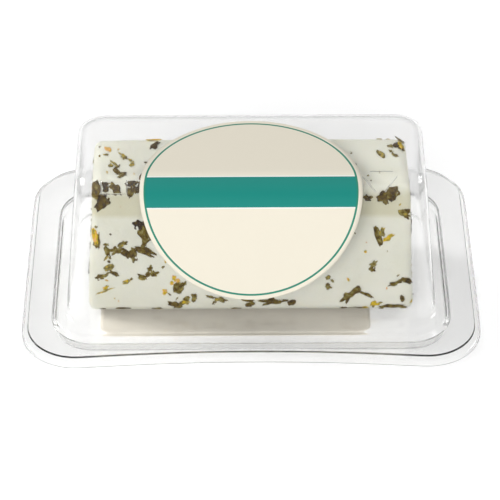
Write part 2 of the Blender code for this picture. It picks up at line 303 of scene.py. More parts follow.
half_sheet = SHEET / 2
flange_level = TRAY_FLANGE_TOP - half_sheet
tray = drawn_sheet("clear_tray", [
    well_loop(6.5 * MM, FLOOR_UNDERSIDE + half_sheet),
    well_loop(4.3 * MM, FLOOR_UNDERSIDE + half_sheet),
    well_loop(3.8 * MM, FLOOR_UNDERSIDE),
    well_loop(3.2 * MM, half_sheet),
    well_loop(1.9 * MM, half_sheet),
    well_loop(1.4 * MM, 0.5 * MM),
    well_loop(1.1 * MM, 1.2 * MM),
    well_loop(0.9 * MM, flange_level - 0.8 * MM),
    well_loop(0.7 * MM, flange_level - 0.2 * MM),
    well_loop(0.2 * MM, flange_level),
    well_loop(-0.7 * MM, flange_level),
    flange_loop(2.0 * MM, flange_level),
    flange_loop(1.1 * MM, flange_level),
    flange_loop(0.5 * MM, flange_level - 0.2 * MM),
    flange_loop(0.28 * MM, flange_level - 0.6 * MM),
    flange_loop(0.27 * MM, SKIRT_BOTTOM + 0.3 * MM),
    flange_loop(0.27 * MM, SKIRT_BOTTOM),
], smoothing=2)
tray.data.materials.append(clear_plastic("clear tray sheet", TRAY_TINT, TRAY_HAZE, TRAY_HAZE))
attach(tray, "root")
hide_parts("tray")


# Label under the tray
# A plain beige paper label stuck to the underside of the floor. It is seen from above through
# the tray, in front of the block, and it stays clear of the table.
PAPER = 0.2 * MM
BASE_LABEL_WIDTH = 77 * MM
BASE_LABEL_DEPTH = 52 * MM
BASE_LABEL_FRONT_Y = -30 * MM
BASE_LABEL_CENTRE_X = -4.5 * MM
BASE_LABEL_CORNER = 5 * MM
BASE_RIM = 1 * MM
BASE_PAPER = (1.0, 0.935, 0.81)
BASE_FIBRES = ((0.0, 0.94), (1.0, 1.05))
GAP = 0.3 * MM

base_top = FLOOR_UNDERSIDE - GAP
base_bottom = base_top - PAPER
base_mesh = bmesh.new()
base_rings = []
for height, inset in ((base_bottom, BASE_RIM), (base_bottom, 0), (base_top, 0), (base_top, BASE_RIM)):
    outline = rounded_outline(BASE_LABEL_WIDTH / 2 - inset, BASE_LABEL_FRONT_Y + inset,
                              BASE_LABEL_FRONT_Y + BASE_LABEL_DEPTH - inset,
                              BASE_LABEL_CORNER - inset / 2, height)
    base_rings.append([base_mesh.verts.new(point + Vector((BASE_LABEL_CENTRE_X, 0, 0))) for point in outline])
for lower, upper in zip(base_rings, base_rings[1:]):
    for index in range(len(lower)):
        after = (index + 1) % len(lower)
        base_mesh.faces.new((lower[index], lower[after], upper[after], upper[index]))
base_mesh.faces.new(base_rings[0])
base_mesh.faces.new(base_rings[-1])
bmesh.ops.recalc_face_normals(base_mesh, faces=base_mesh.faces)
base_label = object_from_bmesh("label_under_tray", base_mesh)
base_paper, base_tree, base_shader = make_surface("beige paper")
base_place = base_tree.nodes.new("ShaderNodeTexCoord")
base_fibre = add_grain(base_tree, base_place, scale=260.0, detail=2.0)
base_tone = base_tree.nodes.new("ShaderNodeValToRGB")
fill_ramp(base_tone, [(position, [c * shade for c in BASE_PAPER]) for position, shade in BASE_FIBRES])
base_tree.links.new(base_fibre, base_tone.inputs["Fac"])
base_tree.links.new(base_tone.outputs["Color"], base_shader.inputs["Base Color"])
base_shader.inputs["Roughness"].default_value = 0.8
base_label.data.materials.append(base_paper)
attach(base_label, "root")
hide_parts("base_label")


# Cheese block
# Fresh white goat cheese pressed into a tapered block. It is moist, with faint hollows, pits
# and clouds of tone. A band of painted shade, darker and yellower, runs round it under its top,
# and it takes light inside.
BLOCK_WIDTH = 93.2 * MM
BLOCK_DEPTH = 34.3 * MM
BLOCK_TOP = 42 * MM
BLOCK_CENTRE_Y = -3.65 * MM
BLOCK_SIDE_DRAFT = 2.4 * MM
BLOCK_FRONT_DRAFT = 5.3 * MM
BLOCK_BACK_DRAFT = 5.0 * MM
BLOCK_EDGE = 2.6 * MM
BLOCK_CELL = 0.9 * MM
BLOCK_UNEVEN = 0.25 * MM
BLOCK_UNEVEN_SPACING = 14 * MM
BLOCK_PITS = 0.07 * MM
BLOCK_PIT_SPACING = 2.2 * MM
BLOCK_UNEVEN_SEED = 3
CHEESE_GRAIN = 0.25 * MM
CHEESE_WHITE = (0.85, 0.845, 0.735)
CHEESE_SHADE = (0.78, 0.775, 0.655)
CHEESE_TONES = ((0.35, CHEESE_SHADE), (0.62, CHEESE_WHITE))
CHEESE_MOIST_ROUGHNESS = 0.28
CHEESE_DRY_ROUGHNESS = 0.55
# Painted shade: the colour that darkens and yellows the band under the block's top edge
CHEESE_BAND_SHADE = (0.85, 0.825, 0.715)
# Place in the band and how much painted shade it gets there, both from 0 to 1
SHADE_BAND = ((0.0, 0.0), (0.30, 0.0), (0.42, 1.0), (0.78, 1.0), (0.95, 0.0), (1.0, 0.0))
SHADE_BAND_FROM = 28 * MM
SHADE_BAND_TO = 42 * MM

block_bottom = FLOOR_UNDERSIDE + SHEET + GAP
block_half = Vector((BLOCK_WIDTH / 2, BLOCK_DEPTH / 2, (BLOCK_TOP - block_bottom) / 2))
noise.seed_set(BLOCK_UNEVEN_SEED)


def block_point(point):
    """Bends a point of a plain box into the soft, tapered, slightly uneven block."""
    core = Vector([max(-h + BLOCK_EDGE, min(h - BLOCK_EDGE, c)) for h, c in zip(block_half, point)])
    away = point - core
    rounded = core + away.normalized() * min(away.length, BLOCK_EDGE)
    level = (rounded.z + block_half.z) / (2 * block_half.z)
    rounded.x *= 1 - BLOCK_SIDE_DRAFT / block_half.x * level
    draft = BLOCK_FRONT_DRAFT if rounded.y < 0 else BLOCK_BACK_DRAFT
    rounded.y *= 1 - draft / block_half.y * level
    wave = noise.noise_vector(rounded / BLOCK_UNEVEN_SPACING) * BLOCK_UNEVEN
    wave += noise.noise_vector(rounded / BLOCK_PIT_SPACING) * BLOCK_PITS
    rounded += wave * min(1.0, 4 * level)
    return rounded + Vector((0.0, BLOCK_CENTRE_Y, block_bottom + block_half.z))


def block_skin():
    """The block's skin as a grid of cells on the six sides of a box."""
    cells = [round(2 * h / BLOCK_CELL) for h in block_half]
    mesh_data = bmesh.new()
    corners = {}
    for axis in range(3):
        first, second = [other for other in range(3) if other != axis]
        for side in (0, cells[axis]):
            for i in range(cells[first]):
                for j in range(cells[second]):
                    quad = []
                    for di, dj in ((0, 0), (1, 0), (1, 1), (0, 1)):
                        key = [0, 0, 0]
                        key[axis], key[first], key[second] = side, i + di, j + dj
                        key = tuple(key)
                        if key not in corners:
                            flat = Vector([(2 * k / n - 1) * h for k, n, h in zip(key, cells, block_half)])
                            corners[key] = mesh_data.verts.new(block_point(flat))
                        quad.append(corners[key])
                    mesh_data.faces.new(quad)
    bmesh.ops.recalc_face_normals(mesh_data, faces=mesh_data.faces)
    return mesh_data


cheese = object_from_bmesh("cheese_block", block_skin())
cheese_surface, cheese_tree, cheese_shader = make_surface("fresh goat cheese")
cheese_nodes, cheese_links = cheese_tree.nodes, cheese_tree.links
cheese_place = cheese_nodes.new("ShaderNodeTexCoord")
cheese_clouds = add_grain(cheese_tree, cheese_place, scale=70.0, detail=5.0)
cheese_pores = add_grain(cheese_tree, cheese_place, scale=900.0, detail=3.0)
cheese_tone = cheese_nodes.new("ShaderNodeValToRGB")
fill_ramp(cheese_tone, CHEESE_TONES)
cheese_wet = cheese_nodes.new("ShaderNodeMapRange")
cheese_wet.inputs["To Min"].default_value = CHEESE_MOIST_ROUGHNESS
cheese_wet.inputs["To Max"].default_value = CHEESE_DRY_ROUGHNESS
cheese_rise = cheese_nodes.new("ShaderNodeSeparateXYZ")
cheese_level = cheese_nodes.new("ShaderNodeMapRange")
cheese_level.inputs["From Min"].default_value = SHADE_BAND_FROM
cheese_level.inputs["From Max"].default_value = SHADE_BAND_TO
# Paints the band of shade under the top edge into the cheese's colour
cheese_painted_shade = cheese_nodes.new("ShaderNodeValToRGB")
fill_ramp(cheese_painted_shade, [(position, [1 + amount * (c - 1) for c in CHEESE_BAND_SHADE])
                        for position, amount in SHADE_BAND])
cheese_mix = cheese_nodes.new("ShaderNodeMix")
cheese_mix.data_type = "RGBA"
cheese_mix.blend_type = "MULTIPLY"
cheese_mix.inputs["Factor"].default_value = 1.0
cheese_links.new(cheese_clouds, cheese_tone.inputs["Fac"])
cheese_links.new(cheese_clouds, cheese_wet.inputs["Value"])
cheese_links.new(cheese_place.outputs["Object"], cheese_rise.inputs[0])
cheese_links.new(cheese_rise.outputs["Z"], cheese_level.inputs["Value"])
cheese_links.new(cheese_level.outputs["Result"], cheese_painted_shade.inputs["Fac"])
cheese_links.new(cheese_tone.outputs["Color"], cheese_mix.inputs["A"])
cheese_links.new(cheese_painted_shade.outputs["Color"], cheese_mix.inputs["B"])
cheese_links.new(cheese_mix.outputs["Result"], cheese_shader.inputs["Base Color"])
cheese_links.new(cheese_wet.outputs["Result"], cheese_shader.inputs["Roughness"])
add_bump(cheese_tree, cheese_shader, cheese_pores, strength=0.35, depth=CHEESE_GRAIN)
cheese_shader.inputs["Subsurface Weight"].default_value = 0.25
cheese_shader.inputs["Subsurface Radius"].default_value = (1.0, 0.85, 0.6)
cheese_shader.inputs["Subsurface Scale"].default_value = 2.5 * MM
cheese.data.materials.append(cheese_surface)
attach(cheese, "root")
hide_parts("cheese")


# Herbs on the block
# Chopped dried parsley and a few bits of garlic and orange peel, pressed into the skin as thin
# crumpled scraps. The leaves on the front and top lie where they are seen, all else by chance.
LEAF_THICKNESS = 0.16 * MM
LEAF_KINDS = 9
LEAF_POINTS = 22
LEAF_RINGS = 3
LEAF_LIFT = 0.10 * MM
LEAF_VEINS = 0.15 * MM
LEAF_STRETCH = 1.10
LEAF_WIDENING = 1.38
LEAF_LOBES = (2, 3, 5)
LEAF_LOBE_DEPTHS = (0.10, 0.24)
LEAF_TEAR = 0.45
LEAF_TEAR_FINENESS = 1.7
LEAF_TEAR_STEP = 9.1
LEAF_CRUMPLE = 1.6
LEAF_CRUMPLE_FINENESS = 3.4
LEAF_CRUMPLE_STEP = 5.3
LEAF_SEED = 100
SCATTER_SEED = 7
SCATTER_SPACING = 4.0 * MM
SCATTER_MARGIN = 3.0 * MM
SCATTER_TOP_MARGIN = 4.0 * MM
SCATTER_COUNTS = {"back": 52, "left": 20, "right": 20}
SCATTER_LENGTHS = (2.0, 7.6)
SCATTER_SLENDERNESS = (0.25, 0.7)
SCATTER_TONES = (0.0, 0.6)
SCATTER_TONE_LEAN = 1.2
BITS_PER_FACE = 26
BIT_LENGTHS = (0.4, 1.3)
BIT_SLENDERNESS = (0.3, 0.8)
BIT_TONES = (0.1, 0.9)
HERB_MOTTLE = 1.35
HERB_MOTTLE_MIDDLE = 0.63
# Across from the middle, up the front face from its foot, length and width, in millimetres,
# then the turn in degrees and the tone from 0 to 1
FRONT_LEAVES = (
    (-35.5, 39.4, 5.2, 1.1, 89, 0.25), (-34.3, 40.3, 3.0, 1.1, 89, 0.30),
    (-42.5, 40.2, 2.0, 1.0, 169, 0.20), (-46.1, 38.1, 3.1, 1.1, 106, 0.55),
    (-43.6, 36.4, 6.5, 2.7, 59, 0.15), (-42.1, 36.4, 2.7, 1.5, 74, 0.20), (-32.9, 28.9, 3.3, 2.9, 6, 0.00),
    (-30.2, 25.8, 6.8, 3.8, 117, 0.33), (-30.4, 28.7, 4.1, 1.9, 112, 0.15),
    (-31.2, 22.7, 2.5, 1.5, 153, 0.30), (-28.9, 25.6, 2.8, 1.7, 109, 0.30),
    (-45.6, 24.9, 6.2, 1.4, 100, 0.80), (-45.4, 28.1, 1.0, 0.7, 130, 0.40),
    (-44.2, 24.1, 5.7, 0.7, 88, 0.40), (-45.0, 22.4, 2.2, 1.1, 149, 0.35),
    (-41.9, 22.6, 1.6, 0.8, 180, 0.45), (-41.6, 20.6, 3.9, 1.2, 103, 0.42),
    (-41.7, 18.5, 2.3, 0.6, 54, 0.50), (-40.7, 18.5, 1.9, 0.5, 98, 0.45), (-39.1, 20.6, 4.0, 2.4, 11, 0.38),
    (-37.7, 22.4, 2.3, 1.2, 30, 0.42), (-36.7, 23.1, 2.0, 1.2, 144, 0.45),
    (-35.8, 19.8, 4.1, 2.7, 123, 0.30), (-33.8, 20.8, 2.3, 1.4, 9, 0.38),
    (-34.0, 18.8, 4.3, 1.9, 102, 0.38), (-30.4, 20.2, 8.1, 1.9, 152, 0.33),
    (-25.9, 20.5, 4.8, 1.0, 127, 0.40), (-24.7, 17.6, 3.1, 0.5, 83, 0.75),
    (-21.1, 14.9, 2.0, 1.0, 130, 0.30), (-40.9, 15.2, 3.8, 1.5, 17, 0.55),
    (-41.0, 15.4, 1.5, 0.5, 88, 0.20), (-39.5, 13.4, 3.5, 1.2, 138, 0.30),
    (-41.7, 12.9, 3.0, 0.8, 39, 0.60), (-43.4, 12.1, 2.8, 1.7, 33, 0.35), (-36.0, 10.5, 2.9, 1.0, 23, 0.64),
    (-34.6, 11.4, 0.8, 0.8, 180, 0.35), (-31.6, 12.0, 4.5, 1.2, 160, 0.50),
    (-29.2, 14.6, 2.4, 1.5, 73, 0.45), (-29.9, 12.8, 1.7, 1.2, 13, 0.35),
    (-28.1, 13.1, 2.5, 1.9, 130, 0.40), (-41.6, 7.7, 6.1, 0.5, 22, 0.70), (-41.7, 8.7, 2.1, 0.9, 48, 0.75),
    (-22.1, 11.5, 2.2, 1.2, 116, 1.00), (-21.0, 10.8, 1.4, 1.1, 16, 0.97),
    (-22.8, 10.1, 1.3, 1.0, 60, 0.90), (-24.9, 7.1, 2.3, 1.3, 170, 0.90), (-23.4, 6.3, 1.3, 0.5, 141, 0.50),
    (-20.9, 8.3, 4.5, 2.4, 58, 0.40), (-19.2, 9.8, 1.7, 1.2, 166, 0.45), (-22.4, 3.1, 3.8, 1.7, 149, 0.30),
    (-20.5, 2.8, 3.6, 1.5, 33, 0.35), (-21.3, 4.8, 1.3, 0.4, 60, 0.45), (-18.7, 3.6, 2.8, 1.2, 163, 0.76),
    (-18.4, 4.8, 2.0, 1.5, 11, 0.45), (-16.4, 5.1, 2.7, 1.9, 171, 0.45), (-42.3, 1.4, 1.7, 0.4, 180, 0.30),
    (-36.4, 1.6, 5.3, 0.5, 178, 0.30), (-26.9, 1.3, 4.0, 0.6, 180, 0.30), (-11.8, 5.4, 2.9, 0.8, 156, 0.40),
    (-8.9, 4.5, 4.0, 1.2, 169, 0.45), (-10.5, 3.5, 1.8, 0.8, 57, 0.35), (-4.2, 1.2, 3.7, 0.4, 180, 0.30),
    (-0.2, 4.7, 4.3, 1.5, 5, 0.40), (-0.3, 3.0, 3.0, 1.9, 116, 0.30), (5.9, 3.6, 7.6, 2.2, 3, 0.35),
    (11.6, 3.3, 3.0, 1.4, 7, 0.25), (34.0, 37.1, 3.0, 1.7, 132, 0.20), (38.4, 37.7, 3.9, 2.4, 35, 0.18),
    (40.2, 37.9, 3.6, 2.4, 112, 0.20), (41.5, 38.6, 3.8, 3.4, 128, 0.28), (39.3, 35.8, 2.0, 1.1, 132, 0.30),
    (43.9, 32.5, 3.0, 1.7, 132, 0.48), (45.5, 32.7, 3.2, 1.2, 159, 0.35), (45.4, 31.4, 3.1, 1.4, 123, 0.30),
    (36.9, 24.9, 8.2, 1.4, 105, 0.35), (38.0, 26.2, 4.2, 1.2, 78, 0.50), (40.0, 24.6, 4.0, 1.4, 28, 0.74),
    (35.4, 15.9, 2.8, 1.2, 55, 0.45), (35.0, 14.1, 2.0, 1.6, 169, 0.35), (22.1, 11.5, 2.0, 1.0, 35, 0.50),
    (23.3, 10.5, 1.3, 0.7, 120, 0.50), (22.2, 8.7, 2.7, 1.4, 16, 0.40), (27.9, 5.2, 5.8, 2.4, 47, 0.33),
    (30.3, 7.3, 3.1, 1.7, 14, 0.35), (30.8, 8.0, 2.3, 1.0, 91, 0.35), (32.9, 6.1, 5.2, 1.0, 148, 0.33),
    (41.6, 9.6, 3.9, 1.1, 23, 0.30), (44.0, 10.6, 3.0, 1.6, 14, 0.33), (45.8, 9.9, 3.6, 1.2, 139, 0.30),
    (43.4, 4.6, 2.3, 1.2, 92, 0.30), (26.4, 1.3, 3.3, 0.4, 180, 0.35), (31.2, 1.3, 5.3, 0.6, 180, 0.35),
    (32.7, 1.3, 2.0, 0.8, 180, 0.75), (35.1, 2.8, 2.6, 1.4, 27, 0.72), (36.7, 2.9, 2.7, 0.8, 16, 0.70),
    (37.8, 1.6, 2.5, 0.8, 38, 0.35), (40.9, 1.9, 7.6, 1.2, 180, 0.33), (43.7, 1.0, 2.4, 0.6, 170, 0.40),
    (47.1, 3.0, 1.4, 0.5, 16, 0.70), (33.2, 19.9, 1.6, 0.5, 103, 0.80), (28.0, 10.8, 1.3, 0.7, 120, 0.93),
)
# The same on the top face, up from its front edge
TOP_LEAVES = (
    (-29.0, 32.8, 5.3, 1.3, 6, 0.86), (-28.6, 28.7, 5.1, 1.7, 51, 0.12), (-38.2, 22.6, 3.7, 0.7, 130, 0.60),
    (-37.6, 20.6, 2.4, 1.3, 135, 0.45), (-35.4, 18.5, 2.4, 0.9, 135, 0.60),
    (-35.2, 15.5, 2.5, 1.0, 61, 0.50), (-40.4, 16.2, 4.1, 0.7, 126, 0.60),
    (-41.4, 14.8, 2.6, 0.9, 122, 0.50), (-39.5, 13.4, 2.7, 1.0, 55, 0.30),
    (-39.6, 11.0, 3.1, 1.2, 117, 0.30), (-37.8, 9.3, 2.9, 1.3, 157, 0.30), (-38.3, 7.6, 2.0, 1.1, 15, 0.40),
    (-43.0, 22.3, 1.6, 0.7, 180, 0.50), (-45.1, 28.5, 0.7, 0.7, 180, 0.40),
    (-44.9, 21.7, 0.7, 0.7, 180, 0.50), (-42.6, 26.4, 2.7, 1.4, 122, 0.97),
    (-31.7, 7.5, 7.1, 1.5, 89, 0.12), (-32.0, 1.4, 4.9, 1.4, 84, 0.15), (-35.1, 3.1, 3.2, 2.6, 137, 0.12),
    (-33.2, 0.4, 1.9, 1.9, 180, 0.15), (-33.1, 4.1, 1.9, 0.9, 122, 0.20), (-39.8, 0.5, 4.4, 1.9, 133, 0.25),
    (-42.6, 1.9, 3.0, 1.7, 133, 0.03), (-46.1, 0.2, 6.2, 2.2, 74, 0.25), (41.2, 35.2, 1.3, 1.1, 118, 0.70),
    (38.5, 33.5, 2.7, 0.8, 167, 0.55), (45.2, 32.0, 3.6, 1.5, 127, 0.30), (43.8, 28.6, 2.4, 2.0, 166, 0.12),
    (45.0, 28.6, 4.0, 1.2, 92, 0.80), (45.1, 26.5, 2.5, 1.3, 138, 0.15), (41.9, 27.6, 2.0, 1.2, 180, 0.50),
    (42.0, 24.2, 1.7, 1.0, 138, 0.40), (43.1, 21.4, 2.9, 1.0, 130, 0.40), (38.8, 22.5, 4.2, 1.6, 110, 0.50),
)
HERB_TONES = ((0.0, (0.030, 0.016, 0.008)), (0.12, (0.045, 0.024, 0.002)), (0.30, (0.100, 0.060, 0.003)),
              (0.45, (0.175, 0.125, 0.012)), (0.60, (0.26, 0.230, 0.080)), (0.76, (0.52, 0.37, 0.020)),
              (0.90, (0.74, 0.52, 0.010)), (1.0, (0.80, 0.44, 0.15)))
LEAF_FIELDS = {"turn": "FLOAT_VECTOR", "size": "FLOAT_VECTOR", "tone": "FLOAT", "kind": "INT"}


def leaf_mesh(kind):
    """One crumpled scrap a unit long and wide, with a torn outline and both faces alike."""
    chance = random.Random(LEAF_SEED + kind)
    lobes = chance.choice(LEAF_LOBES)
    phase, depth = chance.uniform(0, math.tau), chance.uniform(*LEAF_LOBE_DEPTHS)
    mesh_data = bmesh.new()
    faces = []
    for side in (1, -1):
        middle = mesh_data.verts.new((0, 0, side * 0.5))
        rings = []
        for ring in range(1, LEAF_RINGS + 1):
            share = ring / LEAF_RINGS
            row = []
            for step in range(LEAF_POINTS):
                turn = math.tau * step / LEAF_POINTS
                across, up = math.cos(turn), math.sin(turn)
                torn = noise.noise(Vector((across * LEAF_TEAR_FINENESS, up * LEAF_TEAR_FINENESS,
                                           kind * LEAF_TEAR_STEP)))
                lobed = 1 - depth + depth * math.cos(lobes * turn + phase)
                reach = 0.5 * share * (lobed + LEAF_TEAR * torn * share)
                x, y = reach * across, reach * up
                crumple = noise.noise(Vector((x * LEAF_CRUMPLE_FINENESS, y * LEAF_CRUMPLE_FINENESS,
                                              kind * LEAF_CRUMPLE_STEP)))
                height = LEAF_CRUMPLE * crumple
                row.append(mesh_data.verts.new((x, y, height + side * 0.5 * (1.2 - share))))
            rings.append(row)
        for step in range(LEAF_POINTS):
            after = (step + 1) % LEAF_POINTS
            mesh_data.faces.new((middle, rings[0][step], rings[0][after]))
            for inner, outer in zip(rings, rings[1:]):
                mesh_data.faces.new((inner[step], outer[step], outer[after], inner[after]))
        faces.append(rings[-1])
    for step in range(LEAF_POINTS):
        after = (step + 1) % LEAF_POINTS
        mesh_data.faces.new((faces[0][step], faces[1][step], faces[1][after], faces[0][after]))
    bmesh.ops.recalc_face_normals(mesh_data, faces=mesh_data.faces)
    mesh = bpy.data.meshes.new(f"leaf shape {kind}")
    mesh_data.to_mesh(mesh)
    mesh_data.free()
    mesh.shade_smooth()
    return mesh


def face_spot(face, across, up):
    """A place on the block's plain box: across from the middle and up from the face's edge."""
    half = block_half
    spots = {
        "front": (across, -half.y, up - half.z), "back": (across, half.y, up - half.z),
        "top": (across, up - half.y, half.z),
        "left": (-half.x, across, up - half.z), "right": (half.x, across, up - half.z),
    }
    return Vector(spots[face])


FACE_SIDES = {
    "front": (Vector((1, 0, 0)), Vector((0, 0, 1))),
    "back": (Vector((-1, 0, 0)), Vector((0, 0, 1))),
    "top": (Vector((1, 0, 0)), Vector((0, 1, 0))),
    "left": (Vector((0, -1, 0)), Vector((0, 0, 1))),
    "right": (Vector((0, 1, 0)), Vector((0, 0, 1))),
}


def leaf_place(face, across, up, turn):
    """Where a leaf lies on the finished block, and how it is turned to lie flat there."""
    spot = face_spot(face, across, up)
    along, rise = FACE_SIDES[face]
    place = block_point(spot)
    edge = (block_point(spot + along * MM) - block_point(spot - along * MM)).normalized()
    other = (block_point(spot + rise * MM) - block_point(spot - rise * MM)).normalized()
    normal = edge.cross(other).normalized()
    basis = Matrix((edge, normal.cross(edge), normal)).transposed()
    return place + normal * LEAF_LIFT, basis @ Matrix.Rotation(math.radians(turn), 3, "Z")


chance = random.Random(SCATTER_SEED)
leaves = [(face, across * MM, up * MM, length * LEAF_STRETCH * MM, width * LEAF_WIDENING * MM, turn, tone)
          for face, table in (("front", FRONT_LEAVES), ("top", TOP_LEAVES))
          for across, up, length, width, turn, tone in table]
for face, count in SCATTER_COUNTS.items():
    reach = (block_half.x if face == "back" else block_half.y) - SCATTER_MARGIN
    highest = 2 * block_half.z - SCATTER_TOP_MARGIN
    taken = []
    while len(taken) < count:
        spot = Vector((chance.uniform(-reach, reach), chance.uniform(SCATTER_MARGIN, highest)))
        if all((spot - other).length > SCATTER_SPACING for other in taken):
            taken.append(spot)
            length = chance.uniform(*SCATTER_LENGTHS) * MM
            width = length * chance.uniform(*SCATTER_SLENDERNESS)
            leaves.append((face, spot.x, spot.y, length, width,
                           chance.uniform(0, 360), chance.uniform(*SCATTER_TONES) ** SCATTER_TONE_LEAN))
for face in FACE_SIDES:
    wide = (block_half.y if face in ("left", "right") else block_half.x) - SCATTER_MARGIN
    high = 2 * (block_half.y if face == "top" else block_half.z) - SCATTER_MARGIN
    for _ in range(BITS_PER_FACE):
        length = chance.uniform(*BIT_LENGTHS) * MM
        across, up = chance.uniform(-wide, wide), chance.uniform(SCATTER_MARGIN, high)
        width = length * chance.uniform(*BIT_SLENDERNESS)
        leaves.append((face, across, up, length, width, chance.uniform(0, 360), chance.uniform(*BIT_TONES)))

spots_mesh = bpy.data.meshes.new("leaf spots")
spots_mesh.from_pydata([(0, 0, 0)] * len(leaves), [], [])
for field, data_type in LEAF_FIELDS.items():
    spots_mesh.attributes.new(field, data_type, "POINT")
spot = spots_mesh.attributes
for index, (face, across, up, length, width, turn, tone) in enumerate(leaves):
    place, basis = leaf_place(face, across, up, turn)
    spots_mesh.vertices[index].co = place
    spot["turn"].data[index].vector = basis.to_euler("XYZ")
    spot["size"].data[index].vector = (length, width, LEAF_THICKNESS)
    spot["tone"].data[index].value = tone
    spot["kind"].data[index].value = index % LEAF_KINDS
herbs = bpy.data.objects.new("herb_leaves", spots_mesh)
bpy.context.scene.collection.objects.link(herbs)
leaf_shapes = bpy.data.collections.new("leaf shapes")
bpy.context.scene.collection.children.link(leaf_shapes)
for kind in range(LEAF_KINDS):
    shape = bpy.data.objects.new(f"leaf shape {kind}", leaf_mesh(kind))
    leaf_shapes.objects.link(shape)

herb_surface, herb_tree, herb_shader = make_surface("dried herbs")
herb_tone = herb_tree.nodes.new("ShaderNodeAttribute")
herb_tone.attribute_name = "tone"
herb_place = herb_tree.nodes.new("ShaderNodeTexCoord")
herb_mottle = add_grain(herb_tree, herb_place, scale=900.0, detail=3.0)
herb_shift = herb_tree.nodes.new("ShaderNodeMath")
herb_shift.operation = "MULTIPLY_ADD"
herb_shift.inputs[1].default_value = HERB_MOTTLE
herb_sum = herb_tree.nodes.new("ShaderNodeMath")
herb_sum.operation = "SUBTRACT"
herb_sum.inputs[1].default_value = HERB_MOTTLE_MIDDLE
herb_ramp = herb_tree.nodes.new("ShaderNodeValToRGB")
fill_ramp(herb_ramp, HERB_TONES)
herb_links = herb_tree.links
herb_links.new(herb_mottle, herb_shift.inputs[0])
herb_links.new(herb_tone.outputs["Fac"], herb_shift.inputs[2])
herb_links.new(herb_shift.outputs[0], herb_sum.inputs[0])
herb_links.new(herb_sum.outputs[0], herb_ramp.inputs["Fac"])
herb_links.new(herb_ramp.outputs["Color"], herb_shader.inputs["Base Color"])
add_bump(herb_tree, herb_shader, herb_mottle, strength=0.6, depth=LEAF_VEINS)
herb_shader.inputs["Roughness"].default_value = 0.6
herb_shader.inputs["Specular IOR Level"].default_value = 0.2

strew = bpy.data.node_groups.new("strew leaves", "GeometryNodeTree")
strew.interface.new_socket("Spots", in_out="INPUT", socket_type="NodeSocketGeometry")
shapes_socket = strew.interface.new_socket("Leaf shapes", in_out="INPUT", socket_type="NodeSocketCollection")
surface_socket = strew.interface.new_socket("Surface", in_out="INPUT", socket_type="NodeSocketMaterial")
strew.interface.new_socket("Leaves", in_out="OUTPUT", socket_type="NodeSocketGeometry")
strew_in = strew.nodes.new("NodeGroupInput")
strew_out = strew.nodes.new("NodeGroupOutput")
pick = strew.nodes.new("GeometryNodeCollectionInfo")
pick.inputs["Separate Children"].default_value = True
pick.inputs["Reset Children"].default_value = True
lay = strew.nodes.new("GeometryNodeInstanceOnPoints")
lay.inputs["Pick Instance"].default_value = True
named = {}
for field in ("turn", "size", "kind"):
    named[field] = strew.nodes.new("GeometryNodeInputNamedAttribute")
    named[field].data_type = LEAF_FIELDS[field]
    named[field].inputs["Name"].default_value = field
turned = strew.nodes.new("FunctionNodeEulerToRotation")
realize = strew.nodes.new("GeometryNodeRealizeInstances")
paint = strew.nodes.new("GeometryNodeSetMaterial")
strew_links = strew.links
strew_links.new(strew_in.outputs["Spots"], lay.inputs["Points"])
strew_links.new(strew_in.outputs["Leaf shapes"], pick.inputs["Collection"])
strew_links.new(pick.outputs["Instances"], lay.inputs["Instance"])
strew_links.new(named["kind"].outputs["Attribute"], lay.inputs["Instance Index"])
strew_links.new(named["turn"].outputs["Attribute"], turned.inputs[0])
strew_links.new(turned.outputs[0], lay.inputs["Rotation"])
strew_links.new(named["size"].outputs["Attribute"], lay.inputs["Scale"])
strew_links.new(lay.outputs["Instances"], realize.inputs["Geometry"])
strew_links.new(realize.outputs["Geometry"], paint.inputs["Geometry"])
strew_links.new(strew_in.outputs["Surface"], paint.inputs["Material"])
strew_links.new(paint.outputs["Geometry"], strew_out.inputs["Leaves"])
spread = herbs.modifiers.new("strew leaves", "NODES")
spread.node_group = strew
spread[shapes_socket.identifier] = leaf_shapes
spread[surface_socket.identifier] = herb_surface
bake_modifiers(herbs)
for shape in list(leaf_shapes.objects):
    bpy.data.objects.remove(shape, do_unlink=True)
bpy.data.collections.remove(leaf_shapes)
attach(herbs, "root")
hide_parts("cheese")


# Lid
# A domed lid drawn from the same clear sheet and pressed on over the tray: a flat flange curled
# up at its rim, a low step at the dome's foot, and drafted walls that roll over into the top.
DOME_TOP = 46 * MM
DOME_WIDTH = 105.2 * MM
DOME_DEPTH = 67.8 * MM
DOME_CENTRE_Y = -2.9 * MM
DOME_CORNER = 10 * MM
DOME_CORNER_AT_TOP = 7 * MM
SIDE_DRAFT = 3.7 * MM
FRONT_DRAFT = 17.8 * MM
BACK_DRAFT = 11.6 * MM
SIDE_FILLET = 4.5 * MM
FRONT_FILLET = 8.7 * MM
BACK_FILLET = 11.4 * MM
FOOT_STEP_HEIGHT = 2.3 * MM
LID_RIM_INSET = 1.8 * MM
RIM_CURL = 0.4 * MM
FILLET_STEPS = 14
CORNER_LIMIT = 0.48
WALL_LEVELS = (32 * MM, 18 * MM)
LID_TINT = (0.995, 0.995, 0.995)
LID_TOP_HAZE = 0.01


def wall_inset(height, draft, fillet, thickness):
    """How far a drafted wall with a filleted top edge lies inside the dome's foot."""
    lean = math.atan2(draft, DOME_TOP - TRAY_FLANGE_TOP)
    radius = fillet - thickness
    top = DOME_TOP - thickness
    if height <= top - radius + radius * math.sin(lean):
        return (height - TRAY_FLANGE_TOP) * math.tan(lean) + thickness / math.cos(lean)
    wall_at_top = (top - TRAY_FLANGE_TOP) * math.tan(lean) + thickness / math.cos(lean)
    centre_inset = wall_at_top + radius * math.tan((math.pi / 2 - lean) / 2)
    reach = math.sqrt(max(0.0, radius ** 2 - (height - top + radius) ** 2))
    return centre_inset - reach


